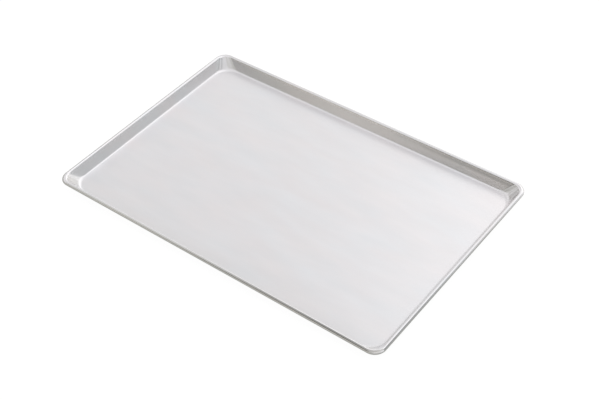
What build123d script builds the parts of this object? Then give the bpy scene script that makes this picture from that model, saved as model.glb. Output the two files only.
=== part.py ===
from build123d import *
import math
import os

os.makedirs("parts", exist_ok=True)

# A cookie sheet: one sheet of aluminium, pressed into a flat floor with four low flared walls,
# whose edge is rolled over a bent steel wire to make the round rim.
# The origin is the middle of the underside. The long side lies along X and +Z is up.

# Overall size, measured over the rolled rim
tray_length = 600
tray_width = 400
tray_height = 20

# The sheet, and the wire that its edge is rolled over
sheet = 1.2
wire_diameter = 4
wire_clearance = 0.1
wire_butt_gap = 1
hem_slit = 0.5

# Walls and corners. The flare is measured from the vertical, and the corner radii on the
# outside of the rim, and on the inside of the wall's top and of its foot.
wall_flare = 24
rim_corner_radius = 18.5
wall_corner_radius = 22
foot_corner_radius = 24
foot_fillet = 4

# The neck is the top of the wall, which keeps the corner of the bead that it carries. The
# pressed wall is rounder in the corners, so a sloping shoulder spans there from wall to neck.
neck_height = 1
shoulder_drop = 1.5

# Every cut runs this far past what it cuts
overrun = 1

# The rolled bead, seen end on: the wire in the middle, the clearance and the sheet round it
bead_inner = wire_diameter / 2 + wire_clearance
bead_outer = bead_inner + sheet
bead_x = tray_length / 2 - bead_outer
bead_y = tray_width / 2 - bead_outer
bead_z = tray_height - bead_outer
bead_corner_radius = rim_corner_radius - bead_outer

# The neck, at the wall's flare, runs into the round of the bead at a tangent
flare = math.radians(wall_flare)
tangent_inset = bead_outer * math.cos(flare)
tangent_rise = bead_outer * math.sin(flare)
wall_through = sheet / math.cos(flare)
neck_z = bead_z + tangent_rise - neck_height
neck_inset = tangent_inset + neck_height * math.tan(flare)

# The inside at the neck, in half lengths and a corner radius
neck_x = bead_x - neck_inset
neck_y = bead_y - neck_inset
neck_radius = bead_corner_radius - neck_inset

# Across a corner, the shoulder runs out from the wall to the neck while it rises by its drop.
# Its underside lies lower by as much as keeps the sheet's thickness.
shoulder_z = neck_z - shoulder_drop
shoulder_inset = shoulder_drop * math.tan(flare)
shoulder_run = shoulder_inset * math.sqrt(2) + (wall_corner_radius - neck_radius) * (math.sqrt(2) - 1)
shoulder_slope = math.atan2(shoulder_drop, shoulder_run)
shoulder_lower = (sheet - wall_through * math.sin(shoulder_slope)) / math.cos(shoulder_slope)

# Heights and corner radii of the inside and of the outside, from the foot to the neck
inside_corners = [
    (sheet, foot_corner_radius),
    (shoulder_z, wall_corner_radius),
    (neck_z, neck_radius),
]
outside_corners = [
    (0, foot_corner_radius + wall_through - sheet * math.tan(flare)),
    (shoulder_z - shoulder_lower, wall_corner_radius + wall_through - shoulder_lower * math.tan(flare)),
    (neck_z - shoulder_lower, neck_radius + wall_through - shoulder_lower * math.tan(flare)),
    (neck_z, neck_radius + wall_through),
]

# The bead starts at the tangent and is rolled over, out and under, until a slit is left
wall_tangent_angle = 180 - wall_flare
slit_angle = math.degrees(math.acos((bead_inner - hem_slit) / bead_outer))
roll_angle = 360 - slit_angle


def half_size(neck_half, height, growth):
    """Half the length or the width at a height, from the inside's at the neck, grown outwards."""
    return neck_half + growth - (neck_z - height) * math.tan(flare)


def flared_outline(base_z, half_foot, half_neck):
    """The upright outline of a form that widens from its foot to the neck."""
    return Polyline(
        (-half_foot, base_z),
        (half_foot, base_z),
        (half_neck, neck_z),
        (-half_neck, neck_z),
        close=True,
    )


def outside_corner(height, half_length, half_width, radius):
    """What lies outside one rounded corner, at a height."""
    with BuildSketch(Plane.XY.offset(height)) as spandrel:
        with Locations((half_length - radius, half_width - radius)):
            Rectangle(radius + overrun, radius + overrun, align=(Align.MIN, Align.MIN))
            Circle(radius, mode=Mode.SUBTRACT)
    return spandrel.sketch


def pressed_form(corner_stops, growth, foot_round):
    """The flared, round-cornered form of the tray's inside, or grown outwards, of its outside."""
    base_z = corner_stops[0][0]
    with BuildPart() as corners:
        loft(
            [
                outside_corner(z, half_size(neck_x, z, growth), half_size(neck_y, z, growth), radius)
                for z, radius in corner_stops
            ],
            ruled=True,
        )
        mirror(about=Plane.XZ)
        mirror(about=Plane.YZ)
    with BuildPart() as form:
        with BuildSketch(Plane.XZ):
            with BuildLine():
                flared_outline(base_z, half_size(neck_x, base_z, growth), neck_x + growth)
            make_face()
        extrude(amount=neck_y + growth, both=True)
        with BuildSketch(Plane.YZ):
            with BuildLine():
                flared_outline(base_z, half_size(neck_y, base_z, growth), neck_y + growth)
            make_face()
        extrude(amount=neck_x + growth, both=True, mode=Mode.INTERSECT)
        add(corners.part, mode=Mode.SUBTRACT)
        fillet(form.edges().group_by(Axis.Z)[0], radius=foot_round)
    return form.part


# The inside of the tray stands on the floor, and the outside is the sheet's thickness away
inside_form = pressed_form(inside_corners, 0, foot_fillet)
outside_form = pressed_form(outside_corners, wall_through, foot_fillet + sheet)

# The centre line of the bead goes once round, from the middle of a short side
with BuildLine(Plane.XY.offset(bead_z)) as bead_path:
    FilletPolyline(
        (bead_x, 0),
        (bead_x, bead_y),
        (-bead_x, bead_y),
        (-bead_x, -bead_y),
        (bead_x, -bead_y),
        close=True,
        radius=[0] + 4 * [bead_corner_radius],
    )

# The pressed sheet: floor, walls and corners in one, with the bead swept round the neck
with BuildPart() as pressed_pan:
    add(outside_form)
    add(inside_form, mode=Mode.SUBTRACT)
    bead_plane = Plane(origin=(bead_x, 0, bead_z), x_dir=(1, 0, 0), z_dir=(0, -1, 0))
    with BuildSketch(bead_plane):
        with BuildLine():
            outer_roll = CenterArc((0, 0), bead_outer, wall_tangent_angle, -roll_angle)
            inner_roll = CenterArc((0, 0), bead_inner, wall_tangent_angle, -roll_angle)
            Line(outer_roll @ 1, inner_roll @ 1)
            Polyline(
                outer_roll @ 0,
                (-neck_inset, neck_z - bead_z),
                (wall_through - neck_inset, neck_z - bead_z),
                inner_roll @ 0,
            )
        make_face()
    sweep(path=bead_path.line)
pressed_pan.part.label = "pressed_pan"
export_step(pressed_pan.part, "parts/pressed_pan.step")

# The wire inside the bead: one length, bent round, its two ends a small gap apart at the back
with BuildPart() as rim_wire:
    with BuildLine(Plane.XY.offset(bead_z)) as wire_path:
        FilletPolyline(
            (wire_butt_gap / 2, bead_y),
            (bead_x, bead_y),
            (bead_x, -bead_y),
            (-bead_x, -bead_y),
            (-bead_x, bead_y),
            (-wire_butt_gap / 2, bead_y),
            radius=bead_corner_radius,
        )
    wire_plane = Plane(origin=wire_path.line @ 0, z_dir=wire_path.line % 0)
    with BuildSketch(wire_plane):
        Circle(wire_diameter / 2)
    sweep(path=wire_path.line)
rim_wire.part.label = "rim_wire"
export_step(rim_wire.part, "parts/rim_wire.step")

for piece in (pressed_pan.part, rim_wire.part):
    box = piece.bounding_box()
    print(piece.label, "solids", len(piece.solids()), "volume", round(piece.volume), "valid", piece.is_valid)
    print(piece.label, "from", box.min, "to", box.max)
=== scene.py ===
# %% [markdown]
# A cookie sheet is one thin sheet of aluminium. A press gives it a flat floor, four low walls that
# lean outwards and four round corners, and then the edge is rolled over a steel wire to make the
# thick round rim. The lesson dresses a model that is already built: the frame holds its pieces at
# their real place and size, in metres, and what is modelled here has to stand exactly there.

# %% Load the frame
import math

import bmesh
import bpy
from mathutils import Matrix, Vector


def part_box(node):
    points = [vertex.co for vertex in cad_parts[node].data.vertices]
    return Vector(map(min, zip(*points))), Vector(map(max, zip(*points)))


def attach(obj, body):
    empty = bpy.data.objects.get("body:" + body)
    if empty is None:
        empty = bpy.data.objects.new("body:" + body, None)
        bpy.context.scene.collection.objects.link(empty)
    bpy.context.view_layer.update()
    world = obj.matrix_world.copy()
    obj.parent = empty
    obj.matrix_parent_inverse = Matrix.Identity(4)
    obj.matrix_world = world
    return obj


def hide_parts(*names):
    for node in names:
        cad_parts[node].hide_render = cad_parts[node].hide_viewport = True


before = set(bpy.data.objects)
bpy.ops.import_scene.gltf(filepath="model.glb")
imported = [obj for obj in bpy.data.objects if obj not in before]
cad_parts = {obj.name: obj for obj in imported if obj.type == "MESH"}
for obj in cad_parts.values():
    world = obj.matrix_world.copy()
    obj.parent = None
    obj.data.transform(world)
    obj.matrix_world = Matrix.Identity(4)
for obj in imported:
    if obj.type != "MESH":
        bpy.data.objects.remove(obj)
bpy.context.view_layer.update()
print("frame nodes:", sorted(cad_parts))

# %% [markdown]
# The shape of the tray is its section, the line that the sheet follows from the middle of the floor,
# up the wall and round the wire. All sizes of that line come from a few real ones: the gauge of the
# sheet, the lean of the walls and the radii of the corners. The rest is read from the frame. The
# wire is round, so the height of its box is its diameter, and the middle of the box is the height
# of the bead, as the rolled edge is called.

# %% Read the sizes of the tray
MM = 0.001
sheet = 1.2 * MM
wall_flare = math.radians(24)
rim_corner = 18.5 * MM
wall_top_corner = 18 * MM
foot_corner = 30 * MM
foot_fillet = 4 * MM
lip_slit = 0.5 * MM

pan_low, pan_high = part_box("pressed_pan")
wire_low, wire_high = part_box("rim_wire")
half_length = pan_high.x
half_width = pan_high.y
bead_height = (wire_low.z + wire_high.z) / 2
bead_outer = pan_high.z - bead_height
bead_inner = bead_outer - sheet
print("tray", round(2 * half_length, 4), "by", round(2 * half_width, 4), "bead", round(2 * bead_outer, 4))

# %% [markdown]
# The wall is a straight line in the section. It leaves the floor at the foot and meets the round of
# the bead at a tangent, a little below the top of the rim. The two functions give, for any height
# on it, how far it lies inside the outermost edge of the rim and the radius of its corners.

# %% Follow the wall
wall_lean = math.tan(wall_flare)
top_height = bead_height + bead_outer * math.sin(wall_flare)
top_reach = bead_outer + bead_outer * math.cos(wall_flare)


def wall_reach(height):
    return top_reach + (top_height - height) * wall_lean


def wall_corner(height):
    share = (height - sheet) / (top_height - sheet)
    return foot_corner + (wall_top_corner - foot_corner) * share


print("the wall leans", round(wall_reach(sheet) - top_reach, 5), "outwards")

# %% [markdown]
# The foot is the round between the floor and the wall. On the sides it is tight. In a corner the
# metal has to flow in from two sides, so the press rounds the foot much more there, and the wall
# above it leans out more too. The radius of each outline is worked out from two places: where the
# wall stands on a side, and where it stands on the corner's diagonal at that height.

# %% Round the foot
corner_fillet = 10 * MM
diagonal_share = 1 - math.sqrt(0.5)


def diagonal_reach(height):
    return wall_reach(height) + wall_corner(height) * diagonal_share


foot_turn = math.pi / 2 - wall_flare
flat_reach = wall_reach(sheet) + foot_fillet * math.tan(foot_turn / 2)
corner_run = (diagonal_reach(sheet) - diagonal_reach(top_height)) * math.sqrt(2)
corner_turn = math.pi / 2 - math.atan2(corner_run, top_height - sheet)
corner_start = diagonal_reach(sheet) + corner_fillet * math.tan(corner_turn / 2) / math.sqrt(2)
corner_end = sheet + corner_fillet * (1 - math.cos(corner_turn))


def corner_radius(reach, height):
    """The corner radius of an outline, from its reach and from the diagonal at its height."""
    diagonal = diagonal_reach(height)
    if height < corner_end:
        angle = math.acos(1 - (height - sheet) / corner_fillet)
        diagonal = corner_start - corner_fillet * math.sin(angle) / math.sqrt(2)
    return (diagonal - reach) / diagonal_share


def foot_outline(angle):
    reach = flat_reach - foot_fillet * math.sin(angle)
    height = sheet + foot_fillet * (1 - math.cos(angle))
    return reach, height, corner_radius(reach, height)


print("the foot turns by degrees:", round(math.degrees(foot_turn), 1), round(math.degrees(corner_turn), 1))
print("corner radius of the floor", round(corner_radius(flat_reach, sheet), 4))

# %% [markdown]
# The bead is a circle in the section, seen end on. The sheet comes up the wall, goes over the wire,
# down the outside and under it, and stops just short of the wall. In the corners the wall is rounder
# than the rim, so the roll spreads there and looks wider, which the corner radii take up little by
# little. Every outline is described by the same three numbers, its reach inside the rim, its height
# and its corner radius, and one list of them is the whole top face of the sheet. The roll has an
# outline exactly at its highest, its outermost and its lowest point, so it fills the size of the
# tray. Beside each bend lies an outline a little way off, which keeps the shading of flat faces even.

# %% List the outlines of the section
foot_steps = 8
wall_steps = 12
beside_bend = 0.4 * MM
corner_spread = wall_top_corner - (rim_corner - top_reach)
lip_angle = math.acos((bead_inner - lip_slit) / bead_outer)
quarters = [math.pi - wall_flare, math.pi / 2, 0, -math.pi / 2, lip_angle - math.pi - wall_flare]
quarter_steps = [8, 11, 11, 6]


def wall_outline(height):
    return wall_reach(height), height, corner_radius(wall_reach(height), height)


def bead_outline(angle):
    reach = bead_outer - bead_outer * math.cos(angle)
    height = bead_height + bead_outer * math.sin(angle)
    return reach, height, rim_corner - reach + corner_spread * reach / top_reach


foot_outlines = [foot_outline(foot_turn * step / foot_steps) for step in range(foot_steps + 1)]
wall_start = foot_outlines[-1][1] + beside_bend
wall_end = top_height - beside_bend
wall_heights = [wall_start + (wall_end - wall_start) * step / wall_steps for step in range(wall_steps + 1)]
bead_angles = quarters[:1]
for start, end, steps in zip(quarters, quarters[1:], quarter_steps):
    bead_angles += [start + (end - start) * (step + 1) / steps for step in range(steps)]
outlines = foot_outlines + [wall_outline(height) for height in wall_heights]
outlines += [bead_outline(angle) for angle in bead_angles]
print("outlines:", len(outlines), "the roll spreads in the corners by", round(corner_spread, 4))

# %% [markdown]
# A section swept round a path would be the shorter way, but it keeps one shape all along, and here
# the corners change on the way up. So the outlines are modelled one by one and bridged. Each starts
# as a plane, is scaled to its size and gets its round corners from a bevel of its four points. The
# plane is two metres wide, so the half length and the half width are its scale. Only its edges are
# kept. The first outline is filled, which makes the floor, and each later one is bridged to the open
# edge of what is there already. The open edges are easy to find for an operator: they are all that
# isn't closed on both sides.

# %% Bridge the outlines
corner_steps = 56
side_cuts = 11

bpy.ops.object.select_all(action="DESELECT")
bpy.ops.mesh.primitive_plane_add(size=2, location=(0, 0, 0))
pan = bpy.context.object
pan.name = "pan_sheet"
pan.data.name = "pan_sheet"


def add_outline(reach, height, corner):
    """Adds the edges of one rectangle with round corners, and cuts its straight sides up."""
    bpy.ops.mesh.primitive_plane_add(size=2, location=(0, 0, height))
    size = (half_length - reach, half_width - reach, 1)
    bpy.ops.transform.resize(value=size, center_override=(0, 0, height))
    bpy.ops.mesh.bevel(offset=corner, segments=corner_steps, affect="VERTICES", clamp_overlap=False)
    bpy.ops.mesh.delete(type="ONLY_FACE")
    bpy.ops.mesh.select_all(action="DESELECT")
    shell = bmesh.from_edit_mesh(pan.data)
    for edge in shell.edges:
        edge.select_set(edge.is_wire and edge.calc_length() > corner)
    bmesh.update_edit_mesh(pan.data)
    bpy.ops.mesh.subdivide(number_cuts=side_cuts)


def select_open_edges():
    bpy.ops.mesh.select_all(action="DESELECT")
    bpy.ops.mesh.select_non_manifold(extend=False)


bpy.ops.object.mode_set(mode="EDIT")
bpy.ops.mesh.select_mode(type="EDGE")
bpy.ops.mesh.select_all(action="SELECT")
bpy.ops.mesh.delete(type="VERT")
add_outline(*outlines[0])
select_open_edges()
bpy.ops.mesh.edge_face_add()
for outline in outlines[1:]:
    add_outline(*outline)
    select_open_edges()
    bpy.ops.mesh.bridge_edge_loops()
print("points in all the outlines:", len(bmesh.from_edit_mesh(pan.data).verts))

# %% [markdown]
# The floor is the one face with more than four corners. It gets one more outline just inside its
# own, which is an inset. Then all faces are turned the same way, and if that way is down, over: the
# top face of the sheet has to look up.

# %% Face the sheet upwards
bridged_corners = 4
shell = bmesh.from_edit_mesh(pan.data)
for face in shell.faces:
    face.select_set(len(face.verts) > bridged_corners)
bmesh.update_edit_mesh(pan.data)
bpy.ops.mesh.select_mode(type="FACE")
bpy.ops.mesh.inset(thickness=beside_bend)
bpy.ops.mesh.select_all(action="SELECT")
bpy.ops.mesh.normals_make_consistent(inside=False)
bpy.ops.object.mode_set(mode="OBJECT")


def floor_looks_up():
    return max(pan.data.polygons, key=lambda face: face.area).normal.z > 0


if not floor_looks_up():
    bpy.ops.object.mode_set(mode="EDIT")
    bpy.ops.mesh.flip_normals()
    bpy.ops.object.mode_set(mode="OBJECT")
print("faces:", len(pan.data.polygons), "the floor looks up:", floor_looks_up())

# %% [markdown]
# A press has too much metal in a corner, and what it can't squeeze away stands there as fine
# puckers, flutes that run up the wall. A bump in the finish would leave the mesh smooth, so they are
# moves of the points, along the way that each faces: waves round the corner that fade out at its two
# ends, at the foot and towards the top of the bead. The outer side of the bead keeps its place,
# because it is the size of the tray. Each corner starts the waves elsewhere: no two are alike.

# %% Pucker the corners
pucker_depth = 0.3 * MM
pucker_waves = [(2.6, 0.55), (5.3, 0.40), (8.9, 0.15)]
pucker_foot = sheet + foot_fillet / 2
pucker_rise = 5 * MM
right_phase = 1.7
far_phase = 3.1
fullness = 0.5
puckered = 0


def fade(value, low, high):
    """Goes smoothly from 0 at low to 1 at high."""
    share = min(max((value - low) / (high - low), 0), 1)
    return share * share * (3 - 2 * share)


for point in pan.data.vertices:
    height = min(point.co.z, top_height)
    radius = corner_radius(wall_reach(height), max(height, sheet))
    inside = wall_reach(height) + radius
    out_x = abs(point.co.x) - (half_length - inside)
    out_y = abs(point.co.y) - (half_width - inside)
    within = math.hypot(out_x, out_y) < radius + top_reach - bead_outer
    on_wall = point.co.z > pucker_foot and point.normal.z > 0 and within
    if out_x <= 0 or out_y <= 0 or not on_wall:
        continue
    around = math.atan2(out_y, out_x) / (math.pi / 2)
    phase = right_phase * (point.co.x > 0) + far_phase * (point.co.y > 0)
    wave = sum(size * math.sin(2 * math.pi * count * around + phase * count) for count, size in pucker_waves)
    foot_fade = fade(point.co.z, pucker_foot, sheet + pucker_rise)
    rim_fade = 1 - fade(point.co.z, top_height, pan_high.z - beside_bend)
    end_fade = math.sin(math.pi * around) ** fullness
    point.co += point.normal * (pucker_depth * wave * foot_fade * rim_fade * end_fade)
    puckered += 1
print("puckered points:", puckered)

# %% [markdown]
# A pressed wall springs back a little when it leaves the press, so it is never quite flat. The far
# long wall bows inwards by up to 0.4 mm, from its middle on and most towards its right end, and all
# four walls have a long ripple of a twentieth of a millimetre. The eye can't see the bow itself, but
# sees how the mirrored surroundings bend in it.

# %% Bow the walls
spring_back = 0.42 * MM
bow_start = -20 * MM
bow_full = 0.8 * half_length
bow_crest = 0.62
ripple = 0.05 * MM
ripple_pace_x = 31
ripple_pace_y = 37
ripple_phase = 2
bowed = 0


def straight_share(place, half):
    """1 along the straight part of a side, and 0 in its corners."""
    return 1 - fade(abs(place), half - foot_corner - 2 * bead_outer, half - wall_top_corner)


for point in pan.data.vertices:
    share = (point.co.z - sheet) / (top_height - sheet)
    if share <= 0 or share >= 1 or point.normal.z < 0:
        continue
    along_x = straight_share(point.co.x, half_length) * (abs(point.co.y) > half_width - foot_corner)
    along_y = straight_share(point.co.y, half_width) * (abs(point.co.x) > half_length - foot_corner)
    bow = ripple * along_x * math.sin(ripple_pace_x * point.co.x + ripple_phase * point.co.y / half_width)
    bow += ripple * along_y * math.sin(ripple_pace_y * point.co.y + ripple_phase * point.co.x / half_length)
    bow *= math.sin(math.pi * share)
    spring = fade(share, 0, bow_crest) * (1 - fade(share, bow_crest, 1))
    bow += spring_back * spring * along_x * (point.co.y > 0) * fade(point.co.x, bow_start, bow_full)
    point.co += point.normal * bow
    bowed += 1
print("bowed points:", bowed)

# %% [markdown]
# So far the tray is a skin with no thickness, its top face only. A second skin could be modelled
# under it, but Solidify gives the same gauge everywhere by itself. It works away from the top face,
# so the size of the rim stays, and it closes the cut edge under the bead too. Smooth shading is kept
# off the sharp bends, which are only at that cut edge.

# %% Give the sheet its gauge
sharp_bend = math.radians(40)
gauge = pan.modifiers.new("gauge", "SOLIDIFY")
gauge.thickness = sheet
gauge.offset = -1
gauge.use_even_offset = True
gauge.use_quality_normals = True
bpy.ops.object.modifier_apply(modifier=gauge.name)
bpy.ops.object.shade_smooth_by_angle(angle=sharp_bend)
print("faces with the gauge:", len(pan.data.polygons))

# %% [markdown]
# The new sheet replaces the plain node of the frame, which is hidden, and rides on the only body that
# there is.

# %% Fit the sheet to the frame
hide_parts("pressed_pan")
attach(pan, "root")
print("the sheet rides on root and stands for pressed_pan")

# %% [markdown]
# Both finishes are bare metal, and what tells them apart is pattern: how rough the metal is from
# place to place, how its colour clouds and how fine its lines are. The helpers below add nodes and
# noises in one line each. A picture of metal would have edges and a limit to its detail, so all
# patterns are noises on the object's own coordinates, which stay on the tray from every side. Most
# of a noise lies between 0.3 and 0.7, and that part of it is what is spread over a range.

# %% Helpers for the finishes
noise_low = 0.3
noise_high = 0.7


def add_node(tree, kind, inputs=None, **settings):
    """Adds a node, sets its sockets by name and its settings by attribute."""
    made = tree.nodes.new(kind)
    for name, value in settings.items():
        setattr(made, name, value)
    for name, value in (inputs or {}).items():
        made.inputs[name].default_value = value
    return made


def new_finish(name):
    """A metal with the shader alone, ready for its patterns."""
    finish = bpy.data.materials.new(name)
    finish.use_nodes = True
    tree = finish.node_tree
    tree.nodes.clear()
    output = add_node(tree, "ShaderNodeOutputMaterial")
    metal = add_node(tree, "ShaderNodeBsdfPrincipled", {"Metallic": 1.0})
    tree.links.new(metal.outputs["BSDF"], output.inputs["Surface"])
    return finish, tree, metal


def stretched_noise(tree, stretch, fineness, detail=3.0):
    """A noise on the object's coordinates. The smaller the number for an axis, the longer it is there."""
    place = add_node(tree, "ShaderNodeTexCoord")
    mapping = add_node(tree, "ShaderNodeMapping", {"Scale": stretch})
    noise = add_node(tree, "ShaderNodeTexNoise", {"Scale": fineness, "Detail": detail})
    tree.links.new(place.outputs["Object"], mapping.inputs["Vector"])
    tree.links.new(mapping.outputs["Vector"], noise.inputs["Vector"])
    return noise.outputs["Fac"]


def spread(tree, value, low, high):
    """Maps a noise to a range."""
    ends = {"From Min": noise_low, "From Max": noise_high, "To Min": low, "To Max": high}
    made = add_node(tree, "ShaderNodeMapRange", ends)
    tree.links.new(value, made.inputs["Value"])
    return made.outputs["Result"]


print("helpers ready")

# %% [markdown]
# The sheet is bare rolled aluminium, a satin metal. Its colour clouds a little, from a warm to a
# cool grey, as handling and washing do. The rolls leave streaks along it too, so the clouds are
# made lighter and darker by a second noise, which is stretched four times along X.

# %% The colour of the rolled sheet
warm_metal = (0.841, 0.814, 0.822, 1)
cool_metal = (0.822, 0.822, 0.840, 1)
streak_depth = 0.018

sheet_finish, tree, metal = new_finish("rolled_aluminium")
clouds = stretched_noise(tree, stretch=(0.4, 1, 1), fineness=22)
tint = add_node(tree, "ShaderNodeMix", {"A": warm_metal, "B": cool_metal}, data_type="RGBA")
tree.links.new(spread(tree, clouds, 0, 1), tint.inputs["Factor"])
streaks = stretched_noise(tree, stretch=(0.25, 1, 0.25), fineness=42)
shade = add_node(tree, "ShaderNodeVectorMath", operation="SCALE")
tree.links.new(tint.outputs["Result"], shade.inputs["Vector"])
tree.links.new(spread(tree, streaks, 1 - streak_depth, 1 + streak_depth), shade.inputs["Scale"])
tree.links.new(shade.outputs["Vector"], metal.inputs["Base Color"])
pan.data.materials.clear()
pan.data.materials.append(sheet_finish)
print("finish:", sheet_finish.name, len(tree.nodes), "nodes")

# %% [markdown]
# The rolls also leave a fine grain, which shows in how rough the metal is: a noise stretched twenty
# times along X. The rolling of the rim burnishes the sheet, so over three millimetres of height
# round the top of the wall the roughness falls to six tenths, and stays there above. Last come the
# lines of the rolls, a very shallow bump.

# %% The grain of the rolled sheet
burnish_start = top_height - 2 * MM
burnish_end = top_height + 1 * MM
burnished = 0.6

grain = stretched_noise(tree, stretch=(0.05, 1, 0.05), fineness=260)
satin = spread(tree, grain, 0.29, 0.31)
place = add_node(tree, "ShaderNodeTexCoord")
axes = add_node(tree, "ShaderNodeSeparateXYZ")
burnish = add_node(tree, "ShaderNodeMapRange", {"From Min": burnish_start, "From Max": burnish_end})
burnish.inputs["To Min"].default_value = 1.0
burnish.inputs["To Max"].default_value = burnished
rough = add_node(tree, "ShaderNodeMath", operation="MULTIPLY")
tree.links.new(place.outputs["Object"], axes.inputs["Vector"])
tree.links.new(axes.outputs["Z"], burnish.inputs["Value"])
tree.links.new(satin, rough.inputs[0])
tree.links.new(burnish.outputs["Result"], rough.inputs[1])
tree.links.new(rough.outputs["Value"], metal.inputs["Roughness"])
lines = stretched_noise(tree, stretch=(0.03, 1, 0.03), fineness=150, detail=2)
bump = add_node(tree, "ShaderNodeBump", {"Strength": 0.04, "Distance": 0.02 * MM})
tree.links.new(lines, bump.inputs["Height"])
tree.links.new(bump.outputs["Normal"], metal.inputs["Normal"])
print("finish:", sheet_finish.name, len(tree.nodes), "nodes")

# %% [markdown]
# The wire hides in the bead and shows only through the slit under the rim, but it gets its own
# finish all the same: zinc-plated steel, greyer and rougher than the sheet, with a fine even mottle.
# Its shape is right as it comes, so the frame's own node keeps its mesh and takes a new material.

# %% The steel wire
plated_steel = (0.62, 0.62, 0.63, 1)
wire_finish, tree, metal = new_finish("zinc_plated_wire")
mottle = stretched_noise(tree, stretch=(1, 1, 1), fineness=300)
metal.inputs["Base Color"].default_value = plated_steel
tree.links.new(spread(tree, mottle, 0.3, 0.45), metal.inputs["Roughness"])
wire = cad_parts["rim_wire"]
wire.data.materials.clear()
wire.data.materials.append(wire_finish)
print("finish:", wire_finish.name, len(tree.nodes), "nodes")

# %% [markdown]
# The studio has a plain white floor. The camera, and what the metal and a glass would show, sees it
# almost evenly white with a trace of the tray's shadow. To all other rays it is white paper, which
# throws soft light back up. More light on the tray would whiten the floor as well, but it would
# bleach the metal with it, so the white is in the paper's own material.

# %% The floor
floor_drop = 0.4 * MM
floor_radius = 12
floor_points = 96
bpy.ops.mesh.primitive_circle_add(
    vertices=floor_points, radius=floor_radius, fill_type="NGON", location=(0, 0, pan_low.z - floor_drop)
)
ground = bpy.context.object
ground.name = "studio_floor"
paper = bpy.data.materials.new("studio_paper")
paper.use_nodes = True
tree = paper.node_tree
tree.nodes.clear()
output = add_node(tree, "ShaderNodeOutputMaterial")
path = add_node(tree, "ShaderNodeLightPath")
plain = add_node(tree, "ShaderNodeBsdfDiffuse", {"Color": (0.8, 0.79, 0.78, 1)})
faint = add_node(tree, "ShaderNodeBsdfDiffuse", {"Color": (0.12, 0.12, 0.12, 1)})
glow = add_node(tree, "ShaderNodeEmission", {"Color": (1, 1, 1, 1), "Strength": 0.93})
seen = add_node(tree, "ShaderNodeAddShader")
either = add_node(tree, "ShaderNodeMixShader")
shown = path.outputs["Is Camera Ray"]
for ray in ("Is Glossy Ray", "Is Transmission Ray"):
    larger = add_node(tree, "ShaderNodeMath", operation="MAXIMUM")
    tree.links.new(shown, larger.inputs[0])
    tree.links.new(path.outputs[ray], larger.inputs[1])
    shown = larger.outputs["Value"]
tree.links.new(faint.outputs["BSDF"], seen.inputs[0])
tree.links.new(glow.outputs["Emission"], seen.inputs[1])
tree.links.new(shown, either.inputs["Fac"])
tree.links.new(plain.outputs["BSDF"], either.inputs[1])
tree.links.new(seen.outputs["Shader"], either.inputs[2])
tree.links.new(either.outputs["Shader"], output.inputs["Surface"])
ground.data.materials.append(paper)
print("floor at", round(ground.location.z, 5))

# %% [markdown]
# Lamps would show in the metal as spots. So the light comes from all round, like in a tent of white
# cloth, and has no lamp. Two ramps make it. The first goes by height: it is brightest about 34
# degrees up, just below what the far left corner of the tray's floor mirrors, and dimmest about 49
# degrees up, close to what the near right corner mirrors. The second goes by side: it is bright at
# the back and on the right, and falls off towards the left and the front. These two falls give the
# flat metal its soft shading.

# %% The light by height
sky_strength = 1.39
world = bpy.data.worlds.new("studio_light")
bpy.context.scene.world = world
world.use_nodes = True
tree = world.node_tree
tree.nodes.clear()
output = add_node(tree, "ShaderNodeOutputWorld")
direction = add_node(tree, "ShaderNodeTexCoord")
axes = add_node(tree, "ShaderNodeSeparateXYZ")
tree.links.new(direction.outputs["Generated"], axes.inputs["Vector"])


def add_ramp(tree, stops):
    """A colour ramp with smooth steps, from a list of places and colours."""
    made = add_node(tree, "ShaderNodeValToRGB")
    made.color_ramp.interpolation = "EASE"
    elements = made.color_ramp.elements
    middle = 0.5
    while len(elements) < len(stops):
        elements.new(middle)
    for element, (place, color) in zip(elements, stops):
        element.position = place
        element.color = (*color, 1)
    return made


height_ramp = add_ramp(tree, [
    (0.00, (0.86, 0.86, 0.86)),
    (0.30, (0.90, 0.90, 0.90)),
    (0.56, (1.03, 1.03, 1.03)),
    (0.76, (0.79, 0.79, 0.795)),
    (0.88, (0.96, 0.96, 0.965)),
    (1.00, (0.92, 0.92, 0.93)),
])
tree.links.new(axes.outputs["Z"], height_ramp.inputs["Fac"])
print("stops by height:", len(height_ramp.color_ramp.elements))

# %% [markdown]
# The side of a ray is told, seen from above, by the cosine of its angle to the key, a direction 25
# degrees to the right of straight back. The ramp starts at the direction opposite to the key and
# ends at the key itself.

# %% The light by side
key_azimuth = math.radians(25)
level_direction = add_node(tree, "ShaderNodeCombineXYZ")
tree.links.new(axes.outputs["X"], level_direction.inputs["X"])
tree.links.new(axes.outputs["Y"], level_direction.inputs["Y"])
unit = add_node(tree, "ShaderNodeVectorMath", operation="NORMALIZE")
tree.links.new(level_direction.outputs["Vector"], unit.inputs[0])
toward = add_node(tree, "ShaderNodeVectorMath", operation="DOT_PRODUCT")
toward.inputs[1].default_value = (math.sin(key_azimuth), math.cos(key_azimuth), 0)
tree.links.new(unit.outputs["Vector"], toward.inputs[0])
side = add_node(tree, "ShaderNodeMapRange", {"From Min": -1, "From Max": 1, "To Min": 0, "To Max": 1})
tree.links.new(toward.outputs["Value"], side.inputs["Value"])
side_ramp = add_ramp(tree, [
    (0.00, (0.66, 0.66, 0.66)),
    (0.60, (0.65, 0.65, 0.65)),
    (0.73, (0.69, 0.69, 0.69)),
    (0.87, (1.00, 1.00, 1.00)),
    (1.00, (0.92, 0.92, 0.92)),
])
tree.links.new(side.outputs["Result"], side_ramp.inputs["Fac"])
both = add_node(tree, "ShaderNodeMix", data_type="RGBA", blend_type="MULTIPLY")
both.inputs["Factor"].default_value = 1
tree.links.new(height_ramp.outputs["Color"], both.inputs["A"])
tree.links.new(side_ramp.outputs["Color"], both.inputs["B"])
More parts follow.
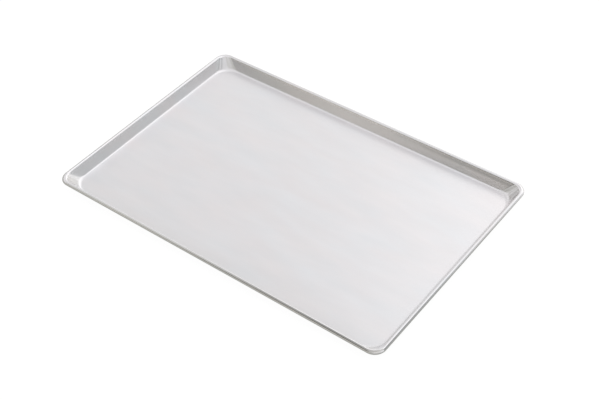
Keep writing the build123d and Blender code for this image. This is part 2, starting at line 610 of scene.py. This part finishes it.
sky = add_node(tree, "ShaderNodeBackground", {"Strength": sky_strength})
tree.links.new(both.outputs["Result"], sky.inputs["Color"])
tree.links.new(sky.outputs["Background"], output.inputs["Surface"])
print("light from all round, key towards", round(math.degrees(key_azimuth)), "degrees")

# %% [markdown]
# Shiny metal shows what stands round it, and on a white floor it would lose its edges. So a
# photographer puts grey cards just out of the picture: the rim and the walls mirror them, and the
# edges come out dark against the white. A card here is a plane that glows in greys and that only
# mirrored rays meet, so it throws no light and no shadow. One ramp of greys runs along its own X,
# and a second one can take over towards its upper edge.

# %% Make a card
half_card = 0.5


def add_card(name, center, size, turn, low_stops, high_stops=None, change=(0, 1)):
    """Adds a card. The second ramp takes over between the two shares of its height in change."""
    bpy.ops.mesh.primitive_plane_add(size=1, location=center, rotation=turn)
    card = bpy.context.object
    card.name = name
    card.scale = (size[0], size[1], 1)
    for ray in ("camera", "diffuse", "transmission", "volume_scatter", "shadow"):
        setattr(card, "visible_" + ray, False)
    paper = bpy.data.materials.new(name + "_paper")
    paper.use_nodes = True
    tree = paper.node_tree
    tree.nodes.clear()
    output = add_node(tree, "ShaderNodeOutputMaterial")
    place = add_node(tree, "ShaderNodeTexCoord")
    axes = add_node(tree, "ShaderNodeSeparateXYZ")
    along = add_node(tree, "ShaderNodeMath", {0: half_card}, operation="ADD")
    low = add_ramp(tree, low_stops)
    high = add_ramp(tree, high_stops or low_stops)
    ends = {"From Min": change[0] - half_card, "From Max": change[1] - half_card}
    takeover = add_node(tree, "ShaderNodeMapRange", ends)
    mix = add_node(tree, "ShaderNodeMix", data_type="RGBA")
    glow = add_node(tree, "ShaderNodeEmission")
    tree.links.new(place.outputs["Object"], axes.inputs["Vector"])
    tree.links.new(axes.outputs["X"], along.inputs[1])
    tree.links.new(axes.outputs["Y"], takeover.inputs["Value"])
    tree.links.new(along.outputs["Value"], low.inputs["Fac"])
    tree.links.new(along.outputs["Value"], high.inputs["Fac"])
    tree.links.new(takeover.outputs["Result"], mix.inputs["Factor"])
    tree.links.new(low.outputs["Color"], mix.inputs["A"])
    tree.links.new(high.outputs["Color"], mix.inputs["B"])
    tree.links.new(mix.outputs["Result"], glow.inputs["Color"])
    tree.links.new(glow.outputs["Emission"], output.inputs["Surface"])
    card.data.materials.append(paper)


print("a card can be made")

# %% [markdown]
# The greys have four tints, each given by what it does to red, green and blue. A table of places
# along the card and levels of grey makes the stops of a ramp, and one level alone makes a plain card.

# %% Mix the greys
card_tints = {
    "warm": (1.07, 1, 0.89),
    "neutral": (0.983, 1, 0.93),
    "soft": (1.0, 1, 0.955),
    "cool": (0.975, 1, 1.0),
}


def greys(tint, levels):
    """The stops of a ramp in one tint, from places and levels."""
    return [(place, tuple(level * share for share in card_tints[tint])) for place, level in levels.items()]


def plain_grey(tint, level):
    return greys(tint, {0: level, 1: level})


print("tints:", sorted(card_tints))

# %% [markdown]
# Two large cards shape the walls, and each has a second ramp above the first. A wall mirrors what
# stands opposite to it, so the far wall shows the front card and the left wall the right one. The
# near rim and the right rim show the same two cards on their outer sides.

# %% Place the front and the right card
upright = math.radians(90)
add_card(
    "front_card", (-0.69, -0.6, 0.275), (2.32, 0.55), (upright, 0, 0),
    greys("warm", {0: 0.56, 0.50: 0.56, 0.59: 0.85, 0.65: 0.70, 0.71: 0.66, 0.80: 0.78, 0.93: 0.72}),
    greys("neutral", {0: 0.48, 0.50: 0.43, 0.62: 0.36, 0.71: 0.14, 0.83: 0.10, 0.93: 0.50}),
    change=(0.10, 0.32),
)
add_card(
    "right_card", (0.8, 0.6, 0.55), (1.3, 1.1), (upright, 0, upright),
    greys("cool", {0: 0.40, 0.26: 0.42, 0.36: 0.67, 0.60: 0.58, 0.72: 0.36, 1: 0.34}),
    greys("cool", {0: 0.30, 0.30: 0.34, 0.45: 0.62, 0.64: 0.85, 0.80: 1.15}),
    change=(0.17, 0.41),
)

# %% [markdown]
# Five more cards have one ramp. The small corner card stands by the near corner and changes very
# little. The left card darkens the inside of the right corner, and the back card that of the left
# one. The one on the studio's floor is painted shade: a flat grey sheet that the outer side of the
# near and the right rim mirror in place of the floor shaded by the tray, so it darkens them. The hood
# lies flat above the near side of the tray: it darkens the near rim, and a little of the floor by it.

# %% Place the other cards
corner_turned = math.radians(40)
add_card(
    "corner_card", (0.46, -0.39, 0.07), (0.4, 0.14), (upright, 0, corner_turned), plain_grey("soft", 0.50)
)
add_card("left_card", (-0.95, 0, 0.175), (1.3, 0.35), (upright, 0, upright), plain_grey("soft", 0.46))
# Painted shade: a grey glowing sheet on the floor, seen only in the rims, in place of the floor's shade by
# the tray.
add_card(
    "floor_shade_card", (-0.4, -0.45, pan_low.z - floor_drop / 2), (2.6, 1.32), (0, 0, 0),
    greys("neutral", {0: 0.48, 1: 0.42}),
)
add_card(
    "hood_card", (0.025, -0.245, 0.25), (0.95, 0.33), (0, 0, 0),
    greys("soft", {0: 0.70, 0.25: 0.68, 0.35: 0.60, 0.47: 0.42, 0.60: 0.31, 0.77: 0.56, 0.90: 0.76}),
)
add_card("back_card", (-0.2, 1.2, 0.25), (1.6, 0.5), (upright, 0, 0), plain_grey("soft", 0.86))

# %% [markdown]
# The camera stands where the photographer's stood. Its place was worked out from the four edges of
# the rim in the photograph, and the roll is the small tilt that the picture has. The angles are in
# radians, and the lens and the sensor in millimetres.

# %% The camera
camera_place = Vector((0.8294, -1.0027, 1.2205))
camera_azimuth = 0.68009
camera_elevation = 0.76048
camera_roll = -0.04434
camera_lens = 69.76
camera_sensor = 36
bpy.ops.object.camera_add()
camera = bpy.context.object
camera.name = "studio_camera"
camera.data.sensor_width = camera_sensor
camera.data.lens = camera_lens
aim = Matrix.Rotation(camera_azimuth, 4, "Z") @ Matrix.Rotation(math.pi / 2 - camera_elevation, 4, "X")
aim = aim @ Matrix.Rotation(camera_roll, 4, "Z")
camera.matrix_world = Matrix.Translation(camera_place) @ aim
bpy.context.scene.camera = camera
bpy.context.scene.view_settings.view_transform = "Standard"
print("camera at", [round(value, 3) for value in camera_place])
